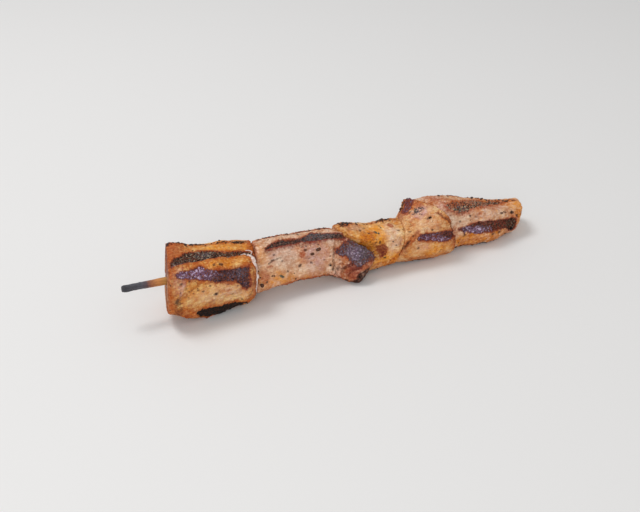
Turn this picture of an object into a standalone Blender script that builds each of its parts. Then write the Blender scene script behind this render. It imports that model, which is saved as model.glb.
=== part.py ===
"""Grilled pork skewer: five uneven pieces of pork on one round wooden stick.

The stick runs straight through the meat. Everything is shaped in the stick's own frame, where X runs
along the stick, Y is to the back and Z is up, and an empty then tips that frame, because the first
piece is the thickest and lifts the blunt end of the stick. Angles round the stick start at the front,
0 degrees, and go up over the top, 90, and the back, 180, to the underside, 270 or -90.
"""

import math
from collections import namedtuple

import bmesh
import bpy
from mathutils import Matrix, Vector, noise

MM = 0.001

# The stick: a round wooden stick of nominal 3 mm, its burnt end blunt and its point inside the meat.
STICK_RADIUS = 1.6 * MM
STICK_BLUNT_END = -85.4 * MM
STICK_POINT = 95.0 * MM
STICK_TAPER = 9.0 * MM
STICK_SIDES = 16
STICK_TILT = math.radians(3.1)
STICK_HEIGHT = 12.2 * MM
STICK_COLOUR = (0.56, 0.33, 0.12)

# Fits: the meat stays just clear of the stick, and each piece just clear of the next. Gaps between pieces
# are taken along the stick, so a steep cut needs a wider one.
BORE_CLEARANCE = 0.3 * MM
BORE_END_CLEARANCE = 1.8 * MM
PIECE_GAP = 0.45 * MM
STEEP_GAP = 1.0 * MM

# Surface: the size of a mesh cell, and the crags that grilling leaves, coarse and fine. Relief fades
# out towards the stick, so that the cut ends stay flat there.
CELL = 2.2 * MM
COARSE_CRAG = 9.0 * MM
COARSE_CRAG_DEPTH = 0.8 * MM
FINE_CRAG = 3.6 * MM
FINE_CRAG_DEPTH = 0.4 * MM
FULL_RELIEF_RADIUS = 6.4 * MM
GROOVE_END_FADE = 1 / 6

MEAT_ROUGHNESS = 0.5
WOOD_ROUGHNESS = 0.6

# A cut ends a piece: where it crosses the stick, and how far it leans along the stick for each metre to
# the back and for each metre up. A piece can hang over the next one with a tongue: how much further the
# tongue reaches, its middle angle round the stick and its spread in degrees.
Cut = namedtuple("Cut", "at back up tongue tongue_angle tongue_spread gap", defaults=(0, 0, 1, PIECE_GAP))
TONGUE_RADIUS = 8.0 * MM

# A section is the piece's outline round the stick at one place along it: its reach to the front, to the
# back, up and down, in millimetres from the stick.
Section = namedtuple("Section", "front back up down")

# A lump pushes the surface out, and a negative one pulls it in: its place along the stick and its angle
# round it, its reach over the surface and its height, in millimetres and degrees.
Lump = namedtuple("Lump", "along angle reach height")

# A groove is where a grill bar has pressed or the meat folds: from and to along the stick, its angle
# round the stick at each end, its width and its depth, in millimetres and degrees.
Groove = namedtuple("Groove", "start end start_angle end_angle width depth")

# A piece of pork: its colour, its two cuts, how far it is turned round the stick, how boxy it is round
# the stick and towards each cut, the seed of its crags, and its forms, given as above.
Piece = namedtuple(
    "Piece", "name colour start end roll boxiness start_boxiness end_boxiness seed sections lumps grooves"
)

FIRST_CUT = Cut(-67.2 * MM, 0.27, 0.05)
BLOCK_TO_SLAB = Cut(-30.6 * MM, 0.25, 0.0)
SLAB_TO_MIDDLE = Cut(
    7.6 * MM, 0.15, 0.0, tongue=23 * MM, tongue_angle=-1, tongue_spread=42, gap=STEEP_GAP
)
MIDDLE_TO_FOLD = Cut(37.2 * MM, 0.35, 0.3)
FOLD_TO_TAIL = Cut(53.5 * MM, -0.55, -0.2)
LAST_CUT = Cut(101.2 * MM, 0.5, 0.3)

PIECES = (
    Piece(
        "pork_1_block",
        (0.52, 0.25, 0.10),
        FIRST_CUT,
        BLOCK_TO_SLAB,
        roll=0,
        boxiness=4.2,
        start_boxiness=18,
        end_boxiness=12,
        seed=3,
        sections=(
            Section(12.5, 12.4, 12.2, 12.0),
            Section(12.4, 11.3, 10.0, 15.0),
            Section(12.4, 10.5, 8.8, 15.3),
            Section(12.0, 9.8, 7.9, 13.4),
        ),
        lumps=(
            Lump(-70, -55, 5, -2.0),
            Lump(-30, -60, 6, -1.5),
        ),
        grooves=(
            Groove(-68, -34, 68, 54, 5, 0.6),
            Groove(-66, -36, 36, 12, 7, 0.6),
            Groove(-60, -37, -34, -42, 6, 0.6),
            Groove(-63, -34, 150, 158, 6, 0.6),
            Groove(-65, -36, -160, -168, 6, 0.6),
        ),
    ),
    Piece(
        "pork_2_slab",
        (0.62, 0.38, 0.26),
        BLOCK_TO_SLAB,
        SLAB_TO_MIDDLE,
        roll=20,
        boxiness=4.2,
        start_boxiness=14,
        end_boxiness=12,
        seed=11,
        sections=(
            Section(7.5, 6.0, 9.0, 12.0),
            Section(7.0, 6.0, 8.8, 9.9),
            Section(7.5, 6.0, 8.6, 9.9),
            Section(9.0, 6.0, 8.2, 11.0),
        ),
        lumps=(
            Lump(12.5, -40, 6, 6.5),
            Lump(17, 5, 5, 1.5),
        ),
        grooves=(
            Groove(-27, 8, 70, 70, 5, 0.6),
            Groove(5, 19, 30, 0, 8, 0.6),
            Groove(-24, 4, 175, 170, 5, 0.6),
        ),
    ),
    Piece(
        "pork_3_middle",
        (0.66, 0.40, 0.15),
        SLAB_TO_MIDDLE,
        MIDDLE_TO_FOLD,
        roll=0,
        boxiness=3.0,
        start_boxiness=14,
        end_boxiness=14,
        seed=23,
        sections=(
            Section(11.0, 9.0, 9.4, 10.4),
            Section(11.0, 7.2, 7.0, 10.4),
            Section(11.0, 7.2, 6.8, 9.4),
        ),
        lumps=(),
        grooves=(
            Groove(6, 36, 160, 152, 5, 0.6),
        ),
    ),
    Piece(
        "pork_4_fold",
        (0.60, 0.36, 0.17),
        MIDDLE_TO_FOLD,
        FOLD_TO_TAIL,
        roll=0,
        boxiness=2.9,
        start_boxiness=12,
        end_boxiness=14,
        seed=31,
        sections=(
            Section(11.6, 8.2, 7.6, 9.4),
            Section(13.0, 11.0, 12.2, 10.4),
            Section(12.8, 12.0, 13.2, 10.4),
        ),
        lumps=(
            Lump(45, 50, 4, -0.8),
        ),
        grooves=(
            Groove(41, 59, 20, 14, 5, 0.6),
            Groove(39, 51, 54, 44, 3, 0.8),
        ),
    ),
    Piece(
        "pork_5_tail",
        (0.62, 0.35, 0.16),
        FOLD_TO_TAIL,
        LAST_CUT,
        roll=8,
        boxiness=3.4,
        start_boxiness=16,
        end_boxiness=18,
        seed=47,
        sections=(
            Section(9.5, 11.5, 13.8, 9.5),
            Section(8.5, 11.0, 12.8, 9.5),
            Section(11.0, 9.5, 9.7, 9.5),
            Section(10.0, 7.6, 6.6, 8.2),
            Section(7.8, 6.4, 5.4, 6.4),
        ),
        lumps=(),
        grooves=(
            Groove(62, 89, 70, 64, 5, 0.6),
            Groove(62, 93, 12, 9, 5, 0.6),
            Groove(58, 90, 165, 160, 5, 0.6),
        ),
    ),
)


def clear_scene():
    """Starts from an empty scene."""
    for thing in list(bpy.data.objects):
        bpy.data.objects.remove(thing)


def new_collection(name):
    """A named collection linked to the scene."""
    collection = bpy.data.collections.new(name)
    bpy.context.scene.collection.children.link(collection)
    return collection


def surface_material(name, colour, roughness):
    """A plain finish in the sub-part's own colour."""
    material = bpy.data.materials.new(name)
    material.use_nodes = True
    shader = material.node_tree.nodes["Principled BSDF"]
    shader.inputs["Base Color"].default_value = (*colour, 1.0)
    shader.inputs["Roughness"].default_value = roughness
    shader.inputs["Metallic"].default_value = 0.0
    return material


def clamped(value, low, high):
    """The value, kept between two limits."""
    return max(low, min(high, value))


def along_sections(values, t):
    """A smooth curve through evenly spaced values, read at t from 0 to 1."""
    last = len(values) - 1
    place = clamped(t, 0.0, 1.0) * last
    i = min(int(place), last - 1)
    f = place - i
    before, here, there, after = (values[clamped(k, 0, last)] for k in (i - 1, i, i + 1, i + 2))
    return 0.5 * (
        2 * here
        + (there - before) * f
        + (2 * before - 5 * here + 4 * there - after) * f**2
        + (3 * here - before - 3 * there + after) * f**3
    )


def angle_round_stick(y, z):
    """Degrees round the stick, from the front up over the top."""
    return math.degrees(math.atan2(z, -y))


def turn_from(y, z, angle):
    """Degrees round the stick from the given angle to a point, from -180 to 180."""
    return (angle_round_stick(y, z) - angle + 180) % 360 - 180


def cut_place(cut, y, z):
    """Where a cut is along the stick, at a point beside it."""
    spread = math.exp(-((turn_from(y, z, cut.tongue_angle) / cut.tongue_spread) ** 2))
    growth = 1 - math.exp(-((math.hypot(y, z) / TONGUE_RADIUS) ** 2))
    return cut.at + cut.back * y + cut.up * z + cut.tongue * spread * growth


def gridded_block(cells):
    """A cube from -1 to 1 whose faces are divided into the given numbers of cells."""
    block = bmesh.new()
    bmesh.ops.create_cube(block, size=2)
    for axis, count in enumerate(cells):
        edges = [
            e for e in block.edges if abs((e.verts[0].co - e.verts[1].co).normalized()[axis]) > 0.99
        ]
        bmesh.ops.subdivide_edges(block, edges=edges, cuts=count - 1, use_grid_fill=True)
    return block


def rounded_unit(point, piece):
    """A point of the unit cube drawn in onto a box that is rounded as the piece is."""
    sides = piece.boxiness
    ends = piece.end_boxiness if point.x > 0 else piece.start_boxiness
    across = (abs(point.y) ** sides + abs(point.z) ** sides) ** (ends / sides)
    return point / (abs(point.x) ** ends + across) ** (1 / ends)


def distance_round_stick(y, z, angle):
    """How far a point lies round the stick from the given angle, over the surface."""
    return math.radians(turn_from(y, z, angle)) * math.hypot(y, z)


def lump_height(lump, s, y, z):
    """How far a lump lifts the surface at a point, in metres."""
    over = distance_round_stick(y, z, lump.angle)
    distance = math.hypot(s - lump.along * MM, over) / (lump.reach * MM)
    return lump.height * MM * math.exp(-(distance**2))


def groove_depth(groove, s, y, z):
    """How deep a groove is at a point, in metres."""
    t = (s / MM - groove.start) / (groove.end - groove.start)
    fade = clamped(t / GROOVE_END_FADE, 0.0, 1.0) * clamped((1 - t) / GROOVE_END_FADE, 0.0, 1.0)
    middle = groove.start_angle + (groove.end_angle - groove.start_angle) * clamped(t, 0.0, 1.0)
    across = distance_round_stick(y, z, middle) / (0.5 * groove.width * MM)
    return groove.depth * MM * fade * math.exp(-(across**4))


def crag_height(s, y, z, seed):
    """Uneven relief of the grilled surface at a point, in metres."""
    place = Vector((s, y, z))
    shift = Vector((seed * 1.7, seed * 2.3, seed * 3.1))
    coarse = noise.noise(place / COARSE_CRAG + shift)
    fine = noise.noise(place / FINE_CRAG - shift)
    return COARSE_CRAG_DEPTH * coarse + FINE_CRAG_DEPTH * fine


def floor_height(s):
    """The floor's place below a point of the stick, in the stick's tipped frame."""
    return (s * math.sin(STICK_TILT) - STICK_HEIGHT) / math.cos(STICK_TILT)


def shape_point(piece, unit):
    """A point of the rounded unit box carried onto the piece, in the stick's frame."""
    t = 0.5 * (unit.x + 1)
    front, back, up, down = (along_sections(reaches, t) * MM for reaches in zip(*piece.sections))
    y = (back if unit.y > 0 else front) * unit.y
    z = (up if unit.z > 0 else down) * unit.z
    roll = math.radians(piece.roll)
    y, z = y * math.cos(roll) + z * math.sin(roll), z * math.cos(roll) - y * math.sin(roll)
    s = cut_place(piece.start, y, z) * (1 - t) + cut_place(piece.end, y, z) * t
    radius = math.hypot(y, z)
    if radius > STICK_RADIUS:
        lift = sum(lump_height(lump, s, y, z) for lump in piece.lumps)
        lift -= sum(groove_depth(groove, s, y, z) for groove in piece.grooves)
        lift += crag_height(s, y, z, piece.seed)
        lift *= min(1.0, radius / FULL_RELIEF_RADIUS)
        y *= 1 + lift / radius
        z *= 1 + lift / radius
    s = max(s, cut_place(piece.start, y, z) + 0.5 * piece.start.gap)
    s = min(s, cut_place(piece.end, y, z) - 0.5 * piece.end.gap)
    return Vector((s, y, max(z, floor_height(s))))


def pork_piece(piece, collection, skewer, cutter):
    """One piece of pork: a gridded block rounded, shaped by its sections and drilled for the stick."""
    middle = piece.sections[len(piece.sections) // 2]
    sizes = (
        piece.end.at - piece.start.at,
        (middle.front + middle.back) * MM,
        (middle.up + middle.down) * MM,
    )
    block = gridded_block([round(size / CELL) for size in sizes])
    for vert in block.verts:
        vert.co = shape_point(piece, rounded_unit(vert.co, piece))
    bmesh.ops.recalc_face_normals(block, faces=block.faces)
    mesh = bpy.data.meshes.new(piece.name)
    block.to_mesh(mesh)
    block.free()
    mesh.shade_smooth()
    mesh.materials.append(surface_material(piece.name, piece.colour, MEAT_ROUGHNESS))
    thing = bpy.data.objects.new(piece.name, mesh)
    collection.objects.link(thing)
    thing.parent = skewer
    bore = thing.modifiers.new("bore", "BOOLEAN")
    bore.operation = "DIFFERENCE"
    bore.object = cutter
    return thing


def pointed_rod(name, radius, start, point, taper, collection, skewer):
    """A round rod along the stick's line, with a flat end at start and a point at the other end."""
    rod = bmesh.new()
    shaft_end = point - taper
    along = Matrix.Rotation(math.radians(90), 4, "Y")
    bmesh.ops.create_cone(
        rod,
        cap_ends=True,
        segments=STICK_SIDES,
        radius1=radius,
        radius2=radius,
        depth=shaft_end - start,
        matrix=Matrix.Translation(((start + shaft_end) / 2, 0, 0)) @ along,
    )
    end_face = max(rod.faces, key=lambda f: f.calc_center_median().x)
    tip = bmesh.ops.poke(rod, faces=[end_face])["verts"][0]
    tip.co.x = point
    bmesh.ops.recalc_face_normals(rod, faces=rod.faces)
    mesh = bpy.data.meshes.new(name)
    rod.to_mesh(mesh)
    rod.free()
    mesh.shade_smooth()
    mesh.set_sharp_from_angle(angle=math.radians(40))
    thing = bpy.data.objects.new(name, mesh)
    collection.objects.link(thing)
    thing.parent = skewer
    return thing


def stand_on_origin(skewer, things):
    """Moves the skewer so that the middle of its outline on the floor is the origin."""
    bpy.context.view_layer.update()
    graph = bpy.context.evaluated_depsgraph_get()
    corners = []
    for thing in things:
        shown = thing.evaluated_get(graph)
        corners += [shown.matrix_world @ vert.co for vert in shown.data.vertices]
    for axis in (0, 1):
        places = [corner[axis] for corner in corners]
        skewer.location[axis] -= (min(places) + max(places)) / 2


def main():
    """Builds the skewer."""
    clear_scene()
    parts = new_collection("pork_skewer")
    cutters = new_collection("cutters")
    skewer = bpy.data.objects.new("skewer_line", None)
    parts.objects.link(skewer)
    skewer.rotation_euler.y = STICK_TILT
    skewer.location.z = STICK_HEIGHT

    stick = pointed_rod(
        "stick", STICK_RADIUS, STICK_BLUNT_END, STICK_POINT, STICK_TAPER, parts, skewer
    )
    stick.data.materials.append(surface_material("stick", STICK_COLOUR, WOOD_ROUGHNESS))

    cutter = pointed_rod(
        "stick_bore",
        STICK_RADIUS + BORE_CLEARANCE,
        STICK_BLUNT_END,
        STICK_POINT + BORE_END_CLEARANCE,
        STICK_TAPER,
        cutters,
        skewer,
    )
    cutter.hide_render = True
    cutter.display_type = "WIRE"

    pork = [pork_piece(piece, parts, skewer, cutter) for piece in PIECES]
    stand_on_origin(skewer, [stick, *pork])


main()
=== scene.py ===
import math
import random
from collections import namedtuple
from itertools import product

import bpy
import numpy as np
from mathutils import Matrix, Vector


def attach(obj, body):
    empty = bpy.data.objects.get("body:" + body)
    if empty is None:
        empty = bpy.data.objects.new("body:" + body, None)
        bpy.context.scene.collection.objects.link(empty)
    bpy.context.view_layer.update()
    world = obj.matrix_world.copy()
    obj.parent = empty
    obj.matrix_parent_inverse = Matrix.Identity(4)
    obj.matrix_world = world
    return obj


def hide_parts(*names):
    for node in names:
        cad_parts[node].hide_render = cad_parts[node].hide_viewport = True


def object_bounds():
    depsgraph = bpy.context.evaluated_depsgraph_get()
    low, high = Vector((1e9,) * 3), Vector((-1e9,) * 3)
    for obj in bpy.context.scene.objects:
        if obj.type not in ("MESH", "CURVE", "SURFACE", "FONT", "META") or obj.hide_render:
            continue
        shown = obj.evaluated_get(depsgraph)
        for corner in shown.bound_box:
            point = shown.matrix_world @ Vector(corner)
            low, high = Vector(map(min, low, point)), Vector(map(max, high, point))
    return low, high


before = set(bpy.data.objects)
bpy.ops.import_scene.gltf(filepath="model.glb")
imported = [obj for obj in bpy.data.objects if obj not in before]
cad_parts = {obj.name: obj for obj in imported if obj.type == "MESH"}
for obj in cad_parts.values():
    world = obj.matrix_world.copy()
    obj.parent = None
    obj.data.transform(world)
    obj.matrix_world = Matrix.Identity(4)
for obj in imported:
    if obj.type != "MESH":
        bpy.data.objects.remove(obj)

cad_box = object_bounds()

# ----------
# The skewer's line. Everything is threaded on one straight stick, which lies a little tipped because
# the first piece is the thickest. A place is given along the stick in millimetres, and round it in
# degrees: 0 is the front, 90 the top, 180 the back and -90 the underside.
# ----------
MM = 0.001
STICK_BLUNT_END = -85.4
STICK_RADIUS = 1.6
BLUNT_FACE_DEPTH = 0.5

stick_points = np.array([vert.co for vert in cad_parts["stick"].data.vertices])
stick_tip = stick_points[stick_points[:, 0].argmax()]
blunt_ring = stick_points[stick_points[:, 0] < stick_points[:, 0].min() + BLUNT_FACE_DEPTH * MM]
blunt_centre = np.unique(blunt_ring.round(6), axis=0).mean(axis=0)
ALONG = (stick_tip - blunt_centre) / np.linalg.norm(stick_tip - blunt_centre)
BACK = np.array((0.0, 1.0, 0.0))
UP = np.cross(ALONG, BACK)
STICK_AXES = np.stack((ALONG, BACK, UP))
line_middle = blunt_centre - ALONG * STICK_BLUNT_END * MM


def to_stick(world):
    """Places in the stick's frame, in millimetres, from places in the world, in metres."""
    return (world - line_middle) @ STICK_AXES.T / MM


def to_world(places):
    """Places in the world, in metres, from places in the stick's frame, in millimetres."""
    return line_middle + places * MM @ STICK_AXES


# ----------
# First piece: a thick block of grilled pork, browned all over. Bars have burnt a black stripe along
# its top, with pale grains and painted glints, and a dark maroon one along its front edge under a
# painted purple sheen, and one more shows under its lower edge. It is pushed on the stick, and its
# fibres run along it.
# ----------
Cut = namedtuple("Cut", "at back up tongue gap", defaults=(0, 0.45))
TONGUE_ANGLE = -1
TONGUE_SPREAD = 42
TONGUE_RADIUS = 8.0

FIRST_CUT = Cut(-67.2, 0.27, 0.05)
BLOCK_TO_SLAB = Cut(-30.6, 0.25, 0.0)

MERGE_REACH = 0.01
VOXEL = 0.29
SMOOTH_PASSES = 9
SWELL = 0.12
BORE_REACH = 3.4
BORE_PINCH = 0.27
BORE_CLEARANCE = 0.02
SEAM_SLIT = 0.04
RIM_FILL = 0.08
RIM_REACH = 1.3
WASH_SOFTNESS = 0.35
SPECK_STRETCH = 1.4
BUMP_DEPTH = 0.32

HASH_PRIMES = np.array((73856093, 19349663, 83492791))
HASH_SEED = 2654435
HASH_STIR = 1274126177

# The meat's stains. One paints a purple sheen with glints of light in it, and one paints pale grains
# with painted glints.
STAINS = ("char", "ash", "bloom", "grit", "maroon", "rust", "fleck", "gold", "pink", "fat")


def uneven(places, size, seed):
    """Smooth random heights from -1 to 1 at places, with bumps about as wide as size."""
    cells = places / size + 0.37 * seed
    corners = np.floor(cells).astype(np.int64)
    ease = cells - corners
    ease = ease * ease * (3 - 2 * ease)
    heights = np.zeros(len(places))
    for shift in product((0, 1), repeat=3):
        knot = corners + shift
        code = np.bitwise_xor.reduce(knot * HASH_PRIMES, axis=1) ^ seed * HASH_SEED
        code = (code ^ code >> 13) * HASH_STIR & 0xFFFFFFFF
        value = ((code ^ code >> 15) & 0xFFFF) / 32767.5 - 1
        heights += value * np.where(shift, ease, 1 - ease).prod(axis=1)
    return heights


def rise(value, low, high):
    """A smooth step from 0 at low to 1 at high."""
    t = np.clip((value - low) / (high - low), 0, 1)
    return t * t * (3 - 2 * t)


def fine_copy(node):
    """A fine, even mesh of a solid of the frame."""
    bpy.ops.object.select_all(action="DESELECT")
    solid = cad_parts[node]
    thing = bpy.data.objects.new(node + "_look", solid.data.copy())
    bpy.context.scene.collection.objects.link(thing)
    bpy.context.view_layer.objects.active = thing
    thing.select_set(True)
    bpy.ops.object.mode_set(mode="EDIT")
    bpy.ops.mesh.select_all(action="SELECT")
    bpy.ops.mesh.remove_doubles(threshold=MERGE_REACH * MM)
    bpy.ops.object.mode_set(mode="OBJECT")
    skin = thing.modifiers.new("skin", "REMESH")
    skin.mode = "VOXEL"
    skin.voxel_size = VOXEL * MM
    softening = thing.modifiers.new("softening", "SMOOTH")
    softening.iterations = SMOOTH_PASSES
    for modifier in list(thing.modifiers):
        bpy.ops.object.modifier_apply(modifier=modifier.name)
    thing.data.materials.clear()
    return thing


class Surface:
    """A piece while it is worked: its surface in the stick's frame, its stains and its relief."""

    def __init__(self, node, start_cut, end_cut, seed):
        self.node = node
        self.thing = fine_copy(node)
        self.start_cut = start_cut
        self.end_cut = end_cut
        self.seed = seed
        self.read()
        self.relief = np.full(len(self.places), SWELL)
        self.stains = {name: np.zeros(len(self.places)) for name in STAINS}

    def read(self):
        """Reads the surface's places and normals, and works out where each point lies."""
        mesh = self.thing.data
        mesh.update()
        flat = np.empty(3 * len(mesh.vertices), np.float32)
        mesh.vertices.foreach_get("co", flat)
        self.places = to_stick(flat.reshape(-1, 3).astype(float))
        mesh.vertices.foreach_get("normal", flat)
        self.normals = flat.reshape(-1, 3) @ STICK_AXES.T
        self.along, back, up = self.places.T
        self.radius = np.hypot(back, up)
        self.angle = np.degrees(np.arctan2(up, -back))
        self.past_start = self.along - self.cut_place(self.start_cut)
        self.before_end = self.cut_place(self.end_cut) - self.along

    def write(self):
        """Puts the surface back in the mesh, on the floor and inside the solid's box."""
        world = np.clip(to_world(self.places), cad_box[0], cad_box[1])
        self.thing.data.vertices.foreach_set("co", world.astype(np.float32).ravel())
        self.thing.data.update()

    def cut_place(self, cut):
        """Where a cut is along the stick, beside each point."""
        spread = np.exp(-(((self.angle - TONGUE_ANGLE + 180) % 360 - 180) / TONGUE_SPREAD) ** 2)
        growth = 1 - np.exp(-((self.radius / TONGUE_RADIUS) ** 2))
        lean = cut.back * self.places[:, 1] + cut.up * self.places[:, 2]
        return cut.at + lean + cut.tongue * spread * growth

    def noise(self, size, layer, stretch=1.0):
        """Random heights over this piece, with bumps of a size, drawn out along the stick."""
        return uneven(self.places / (stretch, 1, 1), size, self.seed * 7 + layer)

    def turn(self, angle):
        """How far round the stick each point lies from an angle, in millimetres over the surface."""
        return np.radians((self.angle - angle + 180) % 360 - 180) * self.radius

    def ragged(self, depth, amount):
        """An outline that wanders in and out, as a burnt edge does."""
        wander = 0.6 * self.noise(2.3, 1) + 0.6 * self.noise(1.0, 2) + 0.4 * self.noise(0.55, 3)
        return depth + amount * wander

    def bar(self, lower, upper, ragged=0.6):
        """How deep each point lies inside a stripe between two edges, given by place and angle."""
        low_place, low_angle = np.array(lower, float).T
        up_place, up_angle = np.array(upper, float).T
        above = self.turn(np.interp(self.along, low_place, low_angle))
        below = -self.turn(np.interp(self.along, up_place, up_angle))
        start = max(low_place[0], up_place[0])
        end = min(low_place[-1], up_place[-1])
        ends = np.minimum(self.along - start, end - self.along)
        return self.ragged(np.minimum(np.minimum(above, below), ends), ragged)

    def blot(self, along, angle, length, height, lean=0.0, ragged=0.5):
        """How deep each point lies inside an oval patch, leaned by an angle."""
        over = self.along - along
        across = self.turn(angle)
        tip = math.radians(lean)
        major = (over * math.cos(tip) + across * math.sin(tip)) / (0.5 * length)
        minor = (across * math.cos(tip) - over * math.sin(tip)) / (0.5 * height)
        return self.ragged((1 - np.hypot(major, minor)) * 0.5 * min(length, height), ragged)

    def line(self, route, width, ragged=0.2):
        """How deep each point lies inside a line of a width that runs through places and angles."""
        nearest = np.full(len(self.places), 1e3)
        for (start, start_angle), (end, end_angle) in zip(route, route[1:]):
            over = self.along - start
            across = self.turn(start_angle)
            rise_over = end - start
            rise_across = math.radians(end_angle - start_angle) * self.radius
            t = (over * rise_over + across * rise_across) / (rise_over**2 + rise_across**2)
            t = np.clip(t, 0, 1)
            nearest = np.minimum(nearest, np.hypot(over - t * rise_over, across - t * rise_across))
        return self.ragged(0.5 * width - nearest, ragged)

    def stain(self, name, amount):
        """Adds a stain over what is there."""
        self.stains[name] = 1 - (1 - self.stains[name]) * (1 - np.clip(amount, 0, 1))

    def wash(self, name, *patches):
        """Stains soft patches: how much, then each one's place, angle, length, height and lean."""
        for amount, *patch in patches:
            soft = WASH_SOFTNESS * min(patch[2:4])
            self.stain(name, amount * rise(self.blot(*patch, ragged=0.9), -soft, soft))

    def dab(self, name, *patches):
        """Stains small patches with a crisp edge, given as for a wash."""
        for amount, *patch in patches:
            self.stain(name, amount * rise(self.blot(*patch, ragged=0.35), -0.25, 0.3))

    def specks(self, *specks, amount=0.9):
        """Stains dark specks, given by their places, angles and sizes."""
        for along, angle, size in specks:
            self.dab("fleck", (amount, along, angle, SPECK_STRETCH * size, size))

    def streak(self, name, amount, route, width, ragged=0.2, edge=(-0.3, 0.3)):
        """Stains along a line of a width that runs through places and angles."""
        self.stain(name, amount * rise(self.line(route, width, ragged), *edge))

    def sear(self, depth, char, maroon=0.7, bloom=0.0, grit=0.0, ash=0.0, sink=0.35, halo=2.4):
        """Burns a place that was pressed on a bar: sunk and grainy, with a raised rusty edge. It can
        also grey it with ash and paint a purple sheen and glints of light into it.
        """
        inside = rise(depth, -0.25, 0.3)
        grains = self.noise(0.9, 11) + 0.8 * self.noise(0.55, 12)
        self.stain("char", inside * char)
        self.stain("maroon", rise(depth, -0.8, 0.1) * maroon)
        self.stain("rust", 0.9 * rise(depth + 0.5 * self.noise(1.8, 13), -halo, -0.1))
        self.stain("bloom", inside * bloom)
        self.stain("grit", inside * grit)
        self.stain("ash", inside * ash)
        self.relief += inside * (0.28 * grains - sink)
        self.relief += 0.14 * np.exp(-(((depth + 0.55) / 0.4) ** 2))

    def crust(self, along, length, angle, height, amount=0.9):
        """Chars an edge of the piece in broken crumbly bits."""
        bits = self.noise(1.6, 31) + 0.8 * self.noise(0.8, 32) + 0.5 * self.noise(0.5, 33)
        depth = self.blot(along, angle, length, height, ragged=0.4)
        amount = amount * rise(depth, -0.4, 0.6) * rise(bits, -0.25, 0.35)
        self.stain("char", amount)
        self.stain("rust", 0.8 * rise(depth, -1.2, 0.5))
        self.relief += 0.2 * amount

    def groove(self, route, width, depth):
        """Presses a narrow crease along a route."""
        self.relief -= depth * rise(self.line(route, width), -0.35, 0.35)

    def darken_seam(self, distance, amount, reach=1.4):
        """Browns the rim beside a cut in broken bits."""
        broad, narrow = (distance + 0.5 * self.noise(*bits) for bits in ((1.4, 41), (0.8, 42)))
        self.stain("rust", amount * (1 - rise(broad, 0.2, reach)))
        self.stain("fleck", amount * (1 - rise(narrow, 0.1, 0.5 * reach)))

    def plump(self, distance, height):
        """Fills out the rim beside a cut, where the meat is pressed on its neighbour."""
        self.relief += height * np.exp(-np.maximum(distance, 0) / 0.9)

    def crag(self, coarse=0.3, fine=0.15, fibre=0.1):
        """Covers the surface with the bumps, the fibres and the pits of grilled meat."""
        bumps = self.noise(3.6, 21, stretch=1.6)
        self.relief += coarse * bumps + 0.7 * coarse * self.noise(1.8, 22, stretch=1.3)
        self.relief += fine * self.noise(0.9, 23)
        self.relief += fibre * self.noise(0.75, 24, stretch=7)
        pits = self.noise(1.5, 25) + 0.4 * self.noise(0.7, 26)
        self.relief -= 0.4 * rise(pits, 0.6, 0.9)

    def close_gap(self, cut, distance):
        """How far the meat near a cut has to swell to touch its neighbour."""
        return (0.5 * cut.gap - 0.5 * SEAM_SLIT) * (1 - rise(distance, 0.4, 1.8))

    def finish(self, material):
        """Raises the relief, closes the meat on its neighbours and hands the piece over."""
        self.places += self.normals * (self.relief * rise(self.radius, 2.4, 4.5))[:, None]
        ends = (self.past_start, self.before_end)
        rim = sum(np.exp(-np.maximum(end, 0) / RIM_REACH) for end in ends)
        self.places[:, 1:] *= (1 + RIM_FILL * rim * rise(self.radius, 4, 7))[:, None]
        self.write()
        self.read()
        pinch = BORE_PINCH * (1 - rise(self.radius, 2.0, BORE_REACH))
        hold = np.maximum(self.radius - pinch, STICK_RADIUS + BORE_CLEARANCE)
        hold /= np.maximum(self.radius, 0.1)
        self.places[:, 1:] *= np.where(self.radius < BORE_REACH, np.minimum(hold, 1.2), 1)[:, None]
        self.places[:, 0] += self.close_gap(self.end_cut, self.before_end)
        self.places[:, 0] -= self.close_gap(self.start_cut, self.past_start)
        lowest = self.cut_place(self.start_cut) + 0.5 * SEAM_SLIT
        highest = self.cut_place(self.end_cut) - 0.5 * SEAM_SLIT
        self.places[:, 0] = np.clip(self.places[:, 0], lowest, highest)
        self.write()
        self.read()
        mesh = self.thing.data
        for name, amount in self.stains.items():
            layer = mesh.attributes.new(name, "FLOAT", "POINT")
            layer.data.foreach_set("value", amount.astype(np.float32))
        mesh.shade_smooth()
        mesh.materials.append(material)
        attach(self.thing, "root")
        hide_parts(self.node)

    def spot(self, along, angle):
        """The place and the normal of the surface beside a place and an angle."""
        nearest = (np.hypot(self.along - along, self.turn(angle)) - 0.1 * self.radius).argmin()
        return self.places[nearest], self.normals[nearest]


def colour(red, green, blue):
    """A colour as it is seen, from 0 to 255, made linear for a shader."""
    seen = [value / 255 for value in (red, green, blue)]
    return (*(v / 12.92 if v < 0.04045 else ((v + 0.055) / 1.055) ** 2.4 for v in seen), 1.0)


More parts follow.
